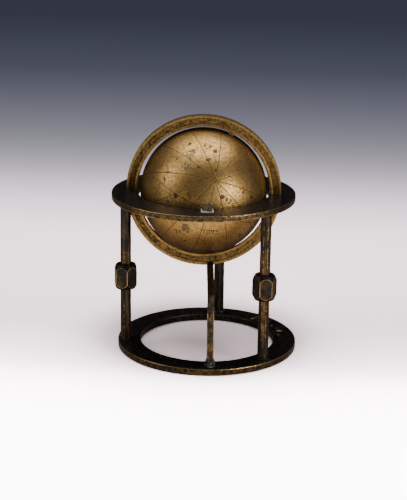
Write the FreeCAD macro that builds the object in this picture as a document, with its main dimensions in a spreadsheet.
import FreeCAD, Part
import math
import os

import Sketcher

from FreeCAD import Placement, Rotation, Vector

# A small celestial globe. The hollow brass globe turns on two pins inside a flat meridian ring. The meridian
# ring turns in its own plane, inside two notches of a flat horizon ring. Three legs carry the horizon ring
# above a flat foot ring. Millimetres, +Z up. The origin is in the middle of the object's footprint, at the
# level the foot ring stands on. The globe's centre is almost above it, and the meridian ring is parallel to XZ.

os.makedirs("parts", exist_ok=True)
doc = FreeCAD.newDocument("celestial_globe")

# ---------------------------------------------------------------- driving sizes

SIZES = [
    ("globe_radius", 40.0, "outside of the hollow globe"),
    ("globe_wall", 1.5, "metal thickness of the two half shells"),
    ("meridian_gap", 1.6, "air between globe and meridian ring"),
    ("meridian_band", 7.3, "radial width of the meridian ring"),
    ("meridian_thickness", 3.3, "thickness of the meridian ring"),
    ("pole_height_angle", 65.3, "degrees, globe axis above the horizon in the meridian plane"),
    ("horizon_gap", 1.3, "air between globe and horizon ring"),
    ("horizon_band", 16.9, "radial width of the horizon ring"),
    ("horizon_thickness", 4.0, "thickness of the horizon ring"),
    ("horizon_top", 102.3, "height of the horizon ring's upper face"),
    ("centre_rise", 0.6, "globe centre above the horizon ring's upper face"),
    ("foot_set_in", 0.6, "outer radius of the foot ring is this much under the horizon ring's"),
    ("foot_band", 14.5, "radial width of the foot ring"),
    ("foot_thickness", 4.6, "thickness of the foot ring"),
    ("axis_shift", -0.6, "globe axis off the origin along X"),
    ("foot_shift", 3.4, "foot ring's centre off the globe axis along X, as hand fitted"),
    ("leg_shift", 2.1, "centre of the circle the legs stand on, off the globe axis along X"),
    ("ring_edge", 0.4, "rounded arrises of the three rings"),
    ("leg_inset", 6.7, "radius of the legs' circle, less than the horizon ring's outer radius"),
    ("leg_flats", 6.7, "legs across flats"),
    ("leg_left_angle", 190.3, "degrees about the centre of the legs' circle"),
    ("leg_right_angle", -42.6, "degrees about the centre of the legs' circle"),
    ("leg_back_angle", 82.2, "degrees about the centre of the legs' circle"),
    ("tenon_radius", 2.0, "round ends of the legs"),
    ("tenon_skin", 1.0, "ring metal left beyond a tenon"),
    ("seat_gap", 0.05, "clearance of a soldered or pressed seat"),
    ("knop_corner", 7.8, "knop corner radius"),
    ("knop_tall", 16.0, "height of a knop"),
    ("knop_left_rise", -3.5, "left knop's centre above the middle of its leg"),
    ("knop_right_rise", 0.2, "the same for the right knop"),
    ("knop_back_rise", 1.2, "the same for the back knop"),
    ("knop_end", 6.2, "radius where a knop's cone meets its end face"),
    ("knop_cone", 3.4, "height of a knop's cone at a corner"),
    ("knop_left_turn", 43.0, "degrees, corner of the left knop"),
    ("knop_right_turn", 9.0, "degrees, corner of the right knop"),
    ("knop_back_turn", 30.0, "degrees, corner of the back knop"),
    ("fillet_spread", 1.0, "solder spread beyond a leg's corners"),
    ("fillet_tall", 1.3, "solder height along a leg"),
    ("slide_gap", 0.15, "side clearance of the meridian ring in notch and fork"),
    ("rim_gap", 0.10, "clearance under the meridian ring's rim in notch and fork"),
    ("cross_notch_turn", 5.5, "degrees, spare notches off square to the meridian"),
    ("cross_notch_width", 7.6, "width of the spare notches"),
    ("lining_wall", 0.7, "solder lining of the front spare notch"),
    ("lining_proud", 0.3, "lining above the horizon ring"),
    ("bar_width", 4.3, "bracket bar, across"),
    ("bar_depth", 4.4, "bracket arm, up and down"),
    ("post_depth", 3.8, "bracket post, front to back"),
    ("post_inset", 5.1, "post centre in from the foot ring's outer edge"),
    ("fork_side", 4.8, "fork to one side of the lowest point"),
    ("fork_skew", 3.2, "degrees, arm off square to the meridian ring"),
    ("fork_overlap", 2.7, "height of the prongs beside the meridian ring"),
    ("fork_prong", 2.0, "metal behind the meridian ring"),
    ("elbow_drop", 4.9, "elbow below the prongs' top"),
    ("post_solder_radius", 3.7, "solder at the post's foot"),
    ("post_solder_top", 3.1, "the same at its top"),
    ("post_solder_tall", 4.8, "height of that solder"),
    ("pin_radius", 1.0, "pivot pins"),
    ("pin_sunk", 0.3, "pivot pin below the meridian ring's rim"),
    ("pin_reach", 5.0, "pivot pin inside the globe's surface"),
    ("lock_radius", 0.55, "cross pins that hold the pivot pins"),
    ("lock_in", 2.0, "cross pin outward from the meridian ring's inner edge"),
    ("run_gap", 0.05, "running clearance of the pivots"),
    ("spacer_radius", 1.6, "collars between ring and globe"),
    ("spacer_gap", 0.10, "end clearance of the collars"),
    ("bush_radius", 2.2, "bushes in the globe's poles"),
    ("bush_flange", 3.4, "flange of a bush inside the shell"),
    ("bush_flange_tall", 1.0, "thickness of that flange"),
    ("bush_long", 3.8, "bush length from the globe's surface"),
    ("seam_band_wall", 1.2, "thickness of the lap band inside the seam"),
    ("seam_band_tall", 6.0, "width of the lap band"),
    ("stud_radius", 0.45, "inlaid star points"),
    ("stud_deep", 0.8, "star points into the shell"),
    ("stud_proud", 0.06, "star points above the globe"),
    ("cut_margin", 1.0, "how far a cutting shape runs past the metal"),
    ("notch_run_in", 10.0, "how far inside the globe's surface a notch's outline starts"),
    ("lining_set_back", 0.6, "solder lining starts this far outside the horizon ring's inner edge"),
    ("fillet_thin_edge", 0.3, "least thickness at the two edges of a leg's solder"),
]

LEG_SIDES = 8
KNOP_SIDES = 6
FULL_TURN = 360.0
LEG_HALF_STEP = FULL_TURN / LEG_SIDES / 2
NO_LENGTH = 1e-9
NO_VOLUME = 1e-6

# Star points on the globe, in degrees: height above the equator and turn about the pole. The turn is counted
# from the side that faces the horizon ring's high end of the meridian.
STARS = [
    (44, -139), (52, -104), (30, -109), (-2, -114), (16, -76), (23, -44), (26, -56), (-41, -87), (40, -106),
    (35, -92), (12, -133), (5, -132), (-12, -20), (64, -40), (70, 20), (48, 60), (27, 95), (8, 130), (-18, 160),
    (-40, 110), (-26, 55), (5, 40), (-55, 20), (-63, -150), (-48, -60), (30, 165), (16, 8), (-10, -170),
]

sheet = doc.addObject("Spreadsheet::Sheet", "sizes")
for row, (alias, size, note) in enumerate(SIZES, start=1):
    sheet.set(f"A{row}", alias)
    sheet.set(f"B{row}", str(size))
    sheet.set(f"C{row}", note)
    sheet.setAlias(f"B{row}", alias)
doc.recompute()

ALIASES = sorted((alias for alias, size, note in SIZES), key=len, reverse=True)


def bound(text):
    """The expression with every size name pointed at the sheet, as other objects need it."""
    words = []
    word = ""
    for letter in text + " ":
        if letter.isalnum() or letter == "_":
            word += letter
            continue
        words.append(f"sizes.{word}" if word in ALIASES else word)
        words.append(letter)
        word = ""
    return "".join(words).strip()


def size_of(text):
    """The same expression as a number, read from the sheet."""
    worked_out = sheet.evalExpression(text)
    return float(getattr(worked_out, "Value", worked_out))


# ---------------------------------------------------------------- sizes worked out from the sheet

CENTRE = "(horizon_top + centre_rise)"
MERIDIAN_INNER = "(globe_radius + meridian_gap)"
MERIDIAN_OUTER = "(globe_radius + meridian_gap + meridian_band)"
HORIZON_INNER = "(globe_radius + horizon_gap)"
HORIZON_OUTER = "(globe_radius + horizon_gap + horizon_band)"
HORIZON_UNDER = "(horizon_top - horizon_thickness)"
FOOT_OUTER = f"({HORIZON_OUTER} - foot_set_in)"
LEG_CIRCLE = f"({HORIZON_OUTER} - leg_inset)"
LEG_LONG = f"({HORIZON_UNDER} - foot_thickness)"
LEG_CORNER = f"(leg_flats / 2 / cos({LEG_HALF_STEP} deg))"
FORK_TOP = f"({CENTRE} - {MERIDIAN_OUTER} + fork_overlap)"
NOTCH_END = f"({MERIDIAN_OUTER} + rim_gap)"
SHELL_INNER = "(globe_radius - globe_wall)"


def leg_place(side):
    """X and Y of a leg's centre, as expressions."""
    x = f"(leg_shift + {LEG_CIRCLE} * cos(leg_{side}_angle * 1 deg))"
    y = f"({LEG_CIRCLE} * sin(leg_{side}_angle * 1 deg))"
    return x, y


# ---------------------------------------------------------------- sketch and feature helpers

pieces = []
cuts = []


def keep(piece, name):
    """Name a finished sub-part and put it on the list of nodes to write."""
    piece.Label = name
    pieces.append(piece)
    return piece


def place(piece, x="0", y="0", z="0", axis=None, turn=None):
    """Bind a sub-part's place to the sheet, from the globe's axis, with one turn about a fixed axis."""
    if axis is not None:
        piece.Placement = Placement(Vector(0, 0, 0), Rotation(axis, size_of(turn)))
        piece.setExpression("Placement.Rotation.Angle", bound(turn) + " * 1 deg")
    for letter, text in zip("xyz", (f"(axis_shift + {x})", y, z)):
        piece.setExpression(f"Placement.Base.{letter}", bound(text) + " * 1 mm")


def sketch_on(body, role, name, offset=None):
    """An empty sketch on one of the body's own origin planes."""
    sketch = body.newObject("Sketcher::SketchObject", name)
    plane = [feature for feature in body.Origin.OriginFeatures if feature.Role == role][0]
    sketch.AttachmentSupport = [(plane, "")]
    sketch.MapMode = "FlatFace"
    if offset is not None:
        sketch.setExpression("AttachmentOffset.Base.z", bound(offset) + " * 1 mm")
    return sketch


def hold(sketch, kind, geometry, point, text):
    """Tie one coordinate of a sketch point to the sheet."""
    amount = size_of(text)
    if abs(amount) < NO_LENGTH:
        axis = -2 if kind == "DistanceX" else -1
        sketch.addConstraint(Sketcher.Constraint("PointOnObject", geometry, point, axis))
        return
    number = sketch.addConstraint(Sketcher.Constraint(kind, -1, 1, geometry, point, amount))
    sketch.setExpression(f"Constraints[{number}]", bound(text) + " * 1 mm")


def outline(sketch, corners):
    """A closed run of straight lines whose corners are tied to the sheet."""
    spots = [Vector(size_of(x), size_of(y), 0) for x, y in corners]
    first = sketch.GeometryCount
    count = len(corners)
    for step in range(count):
        sketch.addGeometry(Part.LineSegment(spots[step], spots[(step + 1) % count]), False)
    for step in range(count):
        following = (step + 1) % count
        sketch.addConstraint(Sketcher.Constraint("Coincident", first + step, 2, first + following, 1))
    for step, (x, y) in enumerate(corners):
        hold(sketch, "DistanceX", first + step, 1, x)
        hold(sketch, "DistanceY", first + step, 1, y)


def circle(sketch, radius, x="0", y="0"):
    """A circle whose centre and radius are tied to the sheet."""
    spot = Vector(size_of(x), size_of(y), 0)
    number = sketch.addGeometry(Part.Circle(spot, Vector(0, 0, 1), size_of(radius)), False)
    tie = sketch.addConstraint(Sketcher.Constraint("Radius", number, size_of(radius)))
    sketch.setExpression(f"Constraints[{tie}]", bound(radius) + " * 1 mm")
    hold(sketch, "DistanceX", number, 3, x)
    hold(sketch, "DistanceY", number, 3, y)


def polygon_corners(sides, radius, first_angle):
    """Corners of a regular polygon, as expressions."""
    corners = []
    for step in range(sides):
        angle = first_angle + FULL_TURN * step / sides
        corners.append((f"{radius} * cos({angle} deg)", f"{radius} * sin({angle} deg)"))
    return corners


def pad(body, sketch, length, name, down=False):
    """Build metal up from a closed sketch, along the sketch's normal or against it."""
    feature = body.newObject("PartDesign::Pad", name)
    feature.Profile = sketch
    feature.Reversed = down
    feature.setExpression("Length", bound(length) + " * 1 mm")
    return feature


def pocket(body, sketch, length, name, up=False):
    """Cut from the sketch into the metal: against the sketch's normal, or along it when up is set."""
    feature = body.newObject("PartDesign::Pocket", name)
    feature.Profile = sketch
    feature.Reversed = up
    feature.setExpression("Length", bound(length) + " * 1 mm")
    cuts.append(feature)
    return feature


def spin(body, sketch, name, kind="PartDesign::Revolution"):
    """Turn a profile right round the body's Z axis."""
    feature = body.newObject(kind, name)
    feature.Profile = sketch
    feature.ReferenceAxis = (sketch, ["V_Axis"])
    feature.Angle = FULL_TURN
    if kind == "PartDesign::Groove":
        cuts.append(feature)
    return feature


def polar_pair(body, feature, name):
    """Repeat a cut on the opposite side of the ring."""
    pattern = body.newObject("PartDesign::PolarPattern", name)
    pattern.Originals = [feature]
    pattern.Axis = ([axis for axis in body.Origin.OriginFeatures if axis.Role == "Z_Axis"][0], [""])
    pattern.Angle = FULL_TURN
    pattern.Occurrences = 2
    body.Tip = pattern
    return pattern


def soften(body, feature, radius, name):
    """Round every circular arris of a ring."""
    doc.recompute()
    shape_edges = enumerate(feature.Shape.Edges, start=1)
    round_edges = [f"Edge{number}" for number, edge in shape_edges if isinstance(edge.Curve, Part.Circle)]
    fillet = body.newObject("PartDesign::Fillet", name)
    fillet.Base = (feature, round_edges)
    fillet.setExpression("Radius", bound(radius) + " * 1 mm")
    return fillet


def flat_ring(name, outer, inner, thickness):
    """A flat ring with rounded arrises, standing on its own origin."""
    body = doc.addObject("PartDesign::Body", name)
    rim = sketch_on(body, "XY_Plane", f"{name}_rim")
    circle(rim, outer)
    circle(rim, inner)
    blank = pad(body, rim, thickness, f"{name}_blank")
    soften(body, blank, "ring_edge", f"{name}_arris")
    return body


# ---------------------------------------------------------------- the stand

def make_foot_ring():
    """The flat ring the instrument stands on, with a blind seat for each leg."""
    body = flat_ring("foot_ring", FOOT_OUTER, f"({FOOT_OUTER} - foot_band)", "foot_thickness")
    holes = sketch_on(body, "XY_Plane", "foot_tenon_holes", "foot_thickness")
    for side in ("left", "right", "back"):
        x, y = leg_place(side)
        circle(holes, "(tenon_radius + seat_gap)", f"({x} - foot_shift)", y)
    pocket(body, holes, "(foot_thickness - tenon_skin)", "foot_tenon_seats")
    place(body, x="foot_shift")
    keep(body, "foot_ring")


def notch_corners(half_width, far_end):
    """A radial notch along +X, from inside the ring's inner edge to its end."""
    near_end = "(globe_radius - notch_run_in)"
    return [
        (near_end, f"(-{half_width})"),
        (far_end, f"(-{half_width})"),
        (far_end, half_width),
        (near_end, half_width),
    ]


def turned(corners, angle):
    """Corners turned about the origin by an angle given as an expression in degrees."""
    done = []
    for x, y in corners:
        new_x = f"({x} * cos({angle} * 1 deg) - {y} * sin({angle} * 1 deg))"
        new_y = f"({x} * sin({angle} * 1 deg) + {y} * cos({angle} * 1 deg))"
        done.append((new_x, new_y))
    return done


FRONT_NOTCH_ANGLE = "(cross_notch_turn - 90)"


def make_horizon_ring():
    """The upper ring, with blind seats below, two notches for the meridian ring and two spare ones."""
    body = flat_ring("horizon_ring", HORIZON_OUTER, HORIZON_INNER, "horizon_thickness")
    holes = sketch_on(body, "XY_Plane", "horizon_tenon_holes")
    for side in ("left", "right", "back"):
        x, y = leg_place(side)
        circle(holes, "(tenon_radius + seat_gap)", x, y)
    pocket(body, holes, "(horizon_thickness - tenon_skin)", "horizon_tenon_seats", up=True)
    ring_notch = sketch_on(body, "XY_Plane", "meridian_notch_outline")
    outline(ring_notch, notch_corners("(meridian_thickness / 2 + slide_gap)", NOTCH_END))
    first = pocket(body, ring_notch, "(horizon_thickness + cut_margin)", "meridian_notch", up=True)
    polar_pair(body, first, "meridian_notches")
    spare_notch = sketch_on(body, "XY_Plane", "spare_notch_outline")
    outline(spare_notch, turned(notch_corners("(cross_notch_width / 2)", NOTCH_END), FRONT_NOTCH_ANGLE))
    second = pocket(body, spare_notch, "(horizon_thickness + cut_margin)", "spare_notch", up=True)
    polar_pair(body, second, "spare_notches")
    place(body, z=HORIZON_UNDER)
    keep(body, "horizon_ring")


def make_leg(side):
    """An eight-sided bar with a round tenon at each end."""
    name = f"leg_{side}"
    body = doc.addObject("PartDesign::Body", name)
    bar = sketch_on(body, "XY_Plane", f"{name}_section")
    outline(bar, polygon_corners(LEG_SIDES, LEG_CORNER, LEG_HALF_STEP))
    pad(body, bar, LEG_LONG, f"{name}_bar")
    low = sketch_on(body, "XY_Plane", f"{name}_low_tenon")
    circle(low, "tenon_radius")
    pad(body, low, "(foot_thickness - tenon_skin - seat_gap)", f"{name}_low_end", down=True)
    high = sketch_on(body, "XY_Plane", f"{name}_high_tenon", LEG_LONG)
    circle(high, "tenon_radius")
    pad(body, high, "(horizon_thickness - tenon_skin - seat_gap)", f"{name}_high_end")
    x, y = leg_place(side)
    place(body, x, y, "foot_thickness", Vector(0, 0, 1), f"leg_{side}_angle")
    keep(body, name)


def make_knop(side):
    """A six-sided collar, coned at both ends, on the middle of a leg."""
    name = f"knop_{side}"
    body = doc.addObject("PartDesign::Body", name)
    hexagon = sketch_on(body, "XY_Plane", f"{name}_hexagon", "(-knop_tall / 2)")
    outline(hexagon, polygon_corners(KNOP_SIDES, "knop_corner", 0.0))
    pad(body, hexagon, "knop_tall", f"{name}_bar")
    cone_drop = "knop_cone * (knop_corner + cut_margin - knop_end) / (knop_corner - knop_end)"
    for end, sign in (("top", ""), ("bottom", "-")):
        cone = sketch_on(body, "XZ_Plane", f"{name}_{end}_cone")
        outline(cone, [
            ("knop_end", f"({sign}(knop_tall / 2))"),
            ("(knop_corner + cut_margin)", f"({sign}(knop_tall / 2))"),
            ("(knop_corner + cut_margin)", f"({sign}(knop_tall / 2 - {cone_drop}))"),
        ])
        spin(body, cone, f"{name}_{end}_slope", "PartDesign::Groove")
    bore = sketch_on(body, "XY_Plane", f"{name}_bore", "(knop_tall / 2 + cut_margin)")
    circle(bore, f"({LEG_CORNER} + seat_gap / 2)")
    pocket(body, bore, "(knop_tall + 2 * cut_margin)", f"{name}_eye")
    x, y = leg_place(side)
    middle = f"(foot_thickness + {LEG_LONG} / 2 + knop_{side}_rise)"
    place(body, x, y, middle, Vector(0, 0, 1), f"knop_{side}_turn")
    keep(body, name)


def make_leg_solder(side, end):
    """Solder run round a leg where it meets a ring: a cone with the leg's bore."""
    name = f"solder_{end}_{side}"
    body = doc.addObject("PartDesign::Body", name)
    profile = sketch_on(body, "XZ_Plane", f"{name}_profile")
    bore = f"({LEG_CORNER} + seat_gap / 2)"
    rise = "" if end == "foot" else "-"
    outline(profile, [
        (bore, "0"),
        (f"({bore} + fillet_spread)", "0"),
        (f"({bore} + fillet_spread)", f"({rise}fillet_thin_edge)"),
        (f"({bore} + fillet_thin_edge)", f"({rise}fillet_tall)"),
        (bore, f"({rise}fillet_tall)"),
    ])
    spin(body, profile, f"{name}_fillet")
    x, y = leg_place(side)
    place(body, x, y, "foot_thickness" if end == "foot" else HORIZON_UNDER)
    keep(body, name)


def make_notch_solder():
    """A U of solder that lines the spare notch at the front."""
    body = doc.addObject("PartDesign::Body", "solder_notch")
    lining = sketch_on(body, "XY_Plane", "solder_notch_outline")
    near = f"({HORIZON_INNER} + lining_set_back)"
    half = "(cross_notch_width / 2)"
    inner_half = "(cross_notch_width / 2 - lining_wall)"
    inner_end = f"({NOTCH_END} - lining_wall)"
    outline(lining, [
        (near, f"(-{half})"),
        (NOTCH_END, f"(-{half})"),
        (NOTCH_END, half),
        (near, half),
        (near, inner_half),
        (inner_end, inner_half),
        (inner_end, f"(-{inner_half})"),
        (near, f"(-{inner_half})"),
    ])
    pad(body, lining, "(horizon_thickness + lining_proud)", "solder_notch_wall")
    place(body, z=HORIZON_UNDER, axis=Vector(0, 0, 1), turn=FRONT_NOTCH_ANGLE)
    keep(body, "solder_notch")


# How far in front of the fork the bracket's post stands, on a circle inside the foot ring's outer edge.
POST_CIRCLE = f"({FOOT_OUTER} - post_inset)"
FORK_FROM_FOOT = "(fork_side - foot_shift)"
POST_AWAY = (f"(sqrt({POST_CIRCLE}^2 - ({FORK_FROM_FOOT} * cos(fork_skew * 1 deg))^2)"
             f" - {FORK_FROM_FOOT} * sin(fork_skew * 1 deg))")


def make_bracket():
    """A post and a rising arm, forked at the end to hold the meridian ring's lowest point."""
    bar = doc.addObject("PartDesign::Body", "bracket_bar")
    profile = sketch_on(bar, "YZ_Plane", "bracket_side_view", "(-bar_width / 2)")
    front = f"(-{POST_AWAY} - post_depth / 2)"
    inside = f"(-{POST_AWAY} + post_depth / 2)"
    arm_end = "(meridian_thickness / 2 + slide_gap + fork_prong)"
    elbow = f"({FORK_TOP} - elbow_drop)"
    outline(profile, [
        (front, "foot_thickness"),
        (inside, "foot_thickness"),
        (inside, f"({elbow} - bar_depth)"),
        (arm_end, f"({FORK_TOP} - bar_depth)"),
        (arm_end, FORK_TOP),
        (front, elbow),
    ])
    pad(bar, profile, "bar_width", "bracket_bar_bend")
    place(bar, x="fork_side", axis=Vector(0, 0, 1), turn="fork_skew")
    ring_space = doc.addObject("Part::Cylinder", "fork_slot")
    ring_space.setExpression("Radius", bound(NOTCH_END) + " * 1 mm")
    ring_space.setExpression("Height", bound("(meridian_thickness + 2 * slide_gap)") + " * 1 mm")
    ring_space.Placement = Placement(Vector(0, 0, 0), Rotation(Vector(1, 0, 0), 90))
    ring_space.setExpression("Placement.Base.x", bound("axis_shift") + " * 1 mm")
    ring_space.setExpression("Placement.Base.y", bound("(meridian_thickness / 2 + slide_gap)") + " * 1 mm")
    ring_space.setExpression("Placement.Base.z", bound(CENTRE) + " * 1 mm")
    bracket = doc.addObject("Part::Cut", "nadir_bracket")
    bracket.Base = bar
    bracket.Tool = ring_space
    keep(bracket, "nadir_bracket")


def make_bracket_solder():
    """A round mound of solder at the foot of the bracket's post."""
    body = doc.addObject("PartDesign::Body", "solder_bracket")
    profile = sketch_on(body, "XZ_Plane", "solder_bracket_profile")
    outline(profile, [
        ("0", "0"),
        ("post_solder_radius", "0"),
        ("post_solder_top", "post_solder_tall"),
        ("0", "post_solder_tall"),
    ])
    spin(body, profile, "solder_bracket_mound")
    seat = sketch_on(body, "XY_Plane", "solder_bracket_seat", "post_solder_tall")
    half_across = "(bar_width / 2 + seat_gap)"
    half_deep = "(post_depth / 2 + seat_gap)"
    outline(seat, [
        (f"(-{half_across})", f"(-{half_deep})"),
        (half_across, f"(-{half_deep})"),
        (half_across, half_deep),
        (f"(-{half_across})", half_deep),
    ])
    pocket(body, seat, "(post_solder_tall + cut_margin)", "solder_bracket_eye")
    x = f"(fork_side + {POST_AWAY} * sin(fork_skew * 1 deg))"
    y = f"(-{POST_AWAY} * cos(fork_skew * 1 deg))"
    place(body, x, y, "foot_thickness", Vector(0, 0, 1), "fork_skew")
    keep(body, "solder_bracket")


# ---------------------------------------------------------------- the meridian ring and the pivots
# These are made with the globe's axis along their own Z, then leaned over to the pole's height.

POLE_LEAN = "(90 - pole_height_angle)"
LOCK_AWAY = f"({MERIDIAN_INNER} + lock_in)"


def place_on_axis(piece):
    """Lean a piece made along Z over to the globe's axis, at the globe's centre."""
    place(piece, z=CENTRE, axis=Vector(0, 1, 0), turn=POLE_LEAN)


def make_meridian_ring():
    """A flat ring drilled through its rim for the two pivot pins and through its faces for their locks."""
    body = doc.addObject("PartDesign::Body", "meridian_ring")
    rim = sketch_on(body, "XZ_Plane", "meridian_rim", "(-meridian_thickness / 2)")
    circle(rim, MERIDIAN_OUTER)
    circle(rim, MERIDIAN_INNER)
    blank = pad(body, rim, "meridian_thickness", "meridian_blank")
    soften(body, blank, "ring_edge / 2", "meridian_arris")
    for end, sign, up in (("north", "", True), ("south", "-", False)):
        pin_hole = sketch_on(body, "XY_Plane", f"{end}_pivot_hole")
        circle(pin_hole, "(pin_radius + seat_gap)")
        pocket(body, pin_hole, f"({MERIDIAN_OUTER} + cut_margin)", f"{end}_pivot_seat", up=up)
        lock_hole = sketch_on(body, "XZ_Plane", f"{end}_lock_hole", "(meridian_thickness / 2 + cut_margin)")
        circle(lock_hole, "(lock_radius + seat_gap)", "0", f"({sign}{LOCK_AWAY})")
        pocket(body, lock_hole, "(meridian_thickness + 2 * cut_margin)", f"{end}_lock_seat")
    place_on_axis(body)
    keep(body, "meridian_ring")


def make_pivot(end, sign):
    """A pivot pin, cross drilled for its lock pin. The south one points down the globe's axis."""
    name = f"pivot_pin_{end}"
    body = doc.addObject("PartDesign::Body", name)
    base = sketch_on(body, "XY_Plane", f"{name}_section", f"({sign}(globe_radius - pin_reach))")
    circle(base, "pin_radius")
    length = f"({MERIDIAN_OUTER} - pin_sunk - globe_radius + pin_reach)"
    pad(body, base, length, f"{name}_rod", down=sign == "-")
    hole = sketch_on(body, "XZ_Plane", f"{name}_lock_hole", "(pin_radius + cut_margin)")
    circle(hole, "(lock_radius + seat_gap)", "0", f"({sign}{LOCK_AWAY})")
    pocket(body, hole, "(2 * (pin_radius + cut_margin))", f"{name}_lock_eye")
    place_on_axis(body)
    keep(body, name)


def make_lock(end, sign):
    """A cross pin, flush with both faces of the meridian ring."""
    name = f"lock_pin_{end}"
    body = doc.addObject("PartDesign::Body", name)
    section = sketch_on(body, "XZ_Plane", f"{name}_section", "(-meridian_thickness / 2)")
    circle(section, "lock_radius", "0", f"({sign}{LOCK_AWAY})")
    pad(body, section, "meridian_thickness", f"{name}_rod")
    place_on_axis(body)
    keep(body, name)


def make_spacer(end, sign):
    """A collar on the pivot pin that centres the globe in the meridian ring."""
    name = f"spacer_{end}"
    body = doc.addObject("PartDesign::Body", name)
    near = "(globe_radius + spacer_gap)"
    far = f"(sqrt({MERIDIAN_INNER}^2 - spacer_radius^2) - seat_gap / 2)"
    section = sketch_on(body, "XY_Plane", f"{name}_section", f"({sign}{near})")
    circle(section, "spacer_radius")
    circle(section, "(pin_radius + seat_gap / 2)")
    pad(body, section, f"({far} - {near})", f"{name}_collar", down=sign == "-")
    place_on_axis(body)
    keep(body, name)


# ---------------------------------------------------------------- the globe

def star_direction(height, turn):
    """Unit vector of a star in the globe's own frame, whose Z is the pole."""
    flat = math.cos(math.radians(height))
    x = flat * math.cos(math.radians(turn))
    y = flat * math.sin(math.radians(turn))
    return Vector(x, y, math.sin(math.radians(height)))


def stud_shape(height, turn, extra):
    """One star point, or the hole for it when extra is the clearance."""
    outward = star_direction(height, turn)
    inner_end = size_of("globe_radius - stud_deep") - extra
    length = size_of("stud_deep + stud_proud") + 2 * extra
    return Part.makeCylinder(size_of("stud_radius") + extra, length, outward * inner_end, outward)


def make_shell(end, sign):
    """Half of the hollow globe, with a hole at its pole and shallow holes for the star points."""
    name = f"globe_shell_{end}"
    halves = []
    for part_name, radius in ((f"{name}_outside", "globe_radius"), (f"{name}_inside", SHELL_INNER)):
        ball = doc.addObject("Part::Sphere", part_name)
        ball.setExpression("Radius", bound(radius) + " * 1 mm")
        ball.Angle1 = 0 if sign > 0 else -90
        ball.Angle2 = 90 if sign > 0 else 0
        halves.append(ball)
    pole_hole = doc.addObject("Part::Cylinder", f"{name}_pole_hole")
    pole_hole.setExpression("Radius", bound("(bush_radius + seat_gap)") + " * 1 mm")
    pole_hole.setExpression("Height", bound("(globe_radius + cut_margin)") + " * 1 mm")
    if sign < 0:
        pole_hole.Placement = Placement(Vector(0, 0, 0), Rotation(Vector(1, 0, 0), 180))
    star_holes = doc.addObject("Part::Feature", f"{name}_star_holes")
    own_stars = [star for star in STARS if star[0] * sign > 0]
    star_holes.Shape = Part.makeCompound([stud_shape(h, t, size_of("seat_gap / 2")) for h, t in own_stars])
    hollow = doc.addObject("Part::Cut", f"{name}_hollow")
    hollow.Base, hollow.Tool = halves
    drilled = doc.addObject("Part::Cut", f"{name}_drilled")
    drilled.Base = hollow
    drilled.Tool = pole_hole
    shell = doc.addObject("Part::Cut", name)
    shell.Base = drilled
    shell.Tool = star_holes
    place_on_axis(shell)
    keep(shell, name)


def make_seam_band():
    """A lap ring inside the joint of the two shells. Its outside is a cylinder that clears their curve."""
    body = doc.addObject("PartDesign::Body", "seam_band")
    outside = f"(sqrt({SHELL_INNER}^2 - (seam_band_tall / 2)^2) - seat_gap / 2)"
    section = sketch_on(body, "XY_Plane", "seam_band_section", "(-seam_band_tall / 2)")
    circle(section, outside)
    circle(section, f"({outside} - seam_band_wall)")
    pad(body, section, "seam_band_tall", "seam_band_hoop")
    place_on_axis(body)
    keep(body, "seam_band")


def make_bush(end, sign):
    """A flanged bush, fitted from inside the shell, that runs on a pivot pin."""
    name = f"pole_bush_{end}"
    body = doc.addObject("PartDesign::Body", name)
    profile = sketch_on(body, "XZ_Plane", f"{name}_profile")
    outer_end = "sqrt(globe_radius^2 - bush_radius^2)"
    flange_top = f"(sqrt({SHELL_INNER}^2 - bush_flange^2) - seat_gap / 2)"
    bore = "(pin_radius + run_gap)"
    outline(profile, [
        (bore, f"({sign}({outer_end}))"),
        ("bush_radius", f"({sign}({outer_end}))"),
        ("bush_radius", f"({sign}{flange_top})"),
        ("bush_flange", f"({sign}{flange_top})"),
        ("bush_flange", f"({sign}({flange_top} - bush_flange_tall))"),
        (bore, f"({sign}(globe_radius - bush_long))"),
    ])
    spin(body, profile, f"{name}_turning")
    place_on_axis(body)
    keep(body, name)


def make_star_studs():
    """The inlaid star points, one group of separate solids."""
    studs = doc.addObject("Part::Feature", "star_studs")
    studs.Shape = Part.makeCompound([stud_shape(height, turn, 0.0) for height, turn in STARS])
    place_on_axis(studs)
    keep(studs, "star_studs")


# ---------------------------------------------------------------- build, check and write

make_foot_ring()
make_horizon_ring()
for leg_side in ("left", "right", "back"):
    make_leg(leg_side)
    make_knop(leg_side)
    make_leg_solder(leg_side, "foot")
    make_leg_solder(leg_side, "top")
make_notch_solder()
make_bracket()
make_bracket_solder()
make_meridian_ring()
for pole, direction in (("north", ""), ("south", "-")):
    make_pivot(pole, direction)
    make_lock(pole, direction)
    make_spacer(pole, direction)
    make_bush(pole, direction)
make_shell("upper", 1)
make_shell("lower", -1)
make_seam_band()
make_star_studs()
doc.recompute()

for item in doc.Objects:
    if "Invalid" in item.State or "Error" in item.State:
        raise RuntimeError(f"{item.Label} failed: {item.State}")
for cut in cuts:
    if cut.Shape.Volume >= cut.BaseFeature.Shape.Volume - NO_VOLUME:
        raise RuntimeError(f"{cut.Label} removes nothing")
for piece in pieces:
    if piece.Shape.isNull() or not piece.Shape.isValid():
        raise RuntimeError(f"{piece.Label} has no sound shape")
for piece in pieces:
    piece.Shape.exportStep(f"parts/{piece.Label}.step")
    box = piece.Shape.BoundBox
    print(f"{piece.Label:20s} {len(piece.Shape.Solids):3d} solid(s) {piece.Shape.Volume:10.1f} mm3"
          f"  z {box.ZMin:7.2f} to {box.ZMax:7.2f}")
print(len(pieces), "nodes")
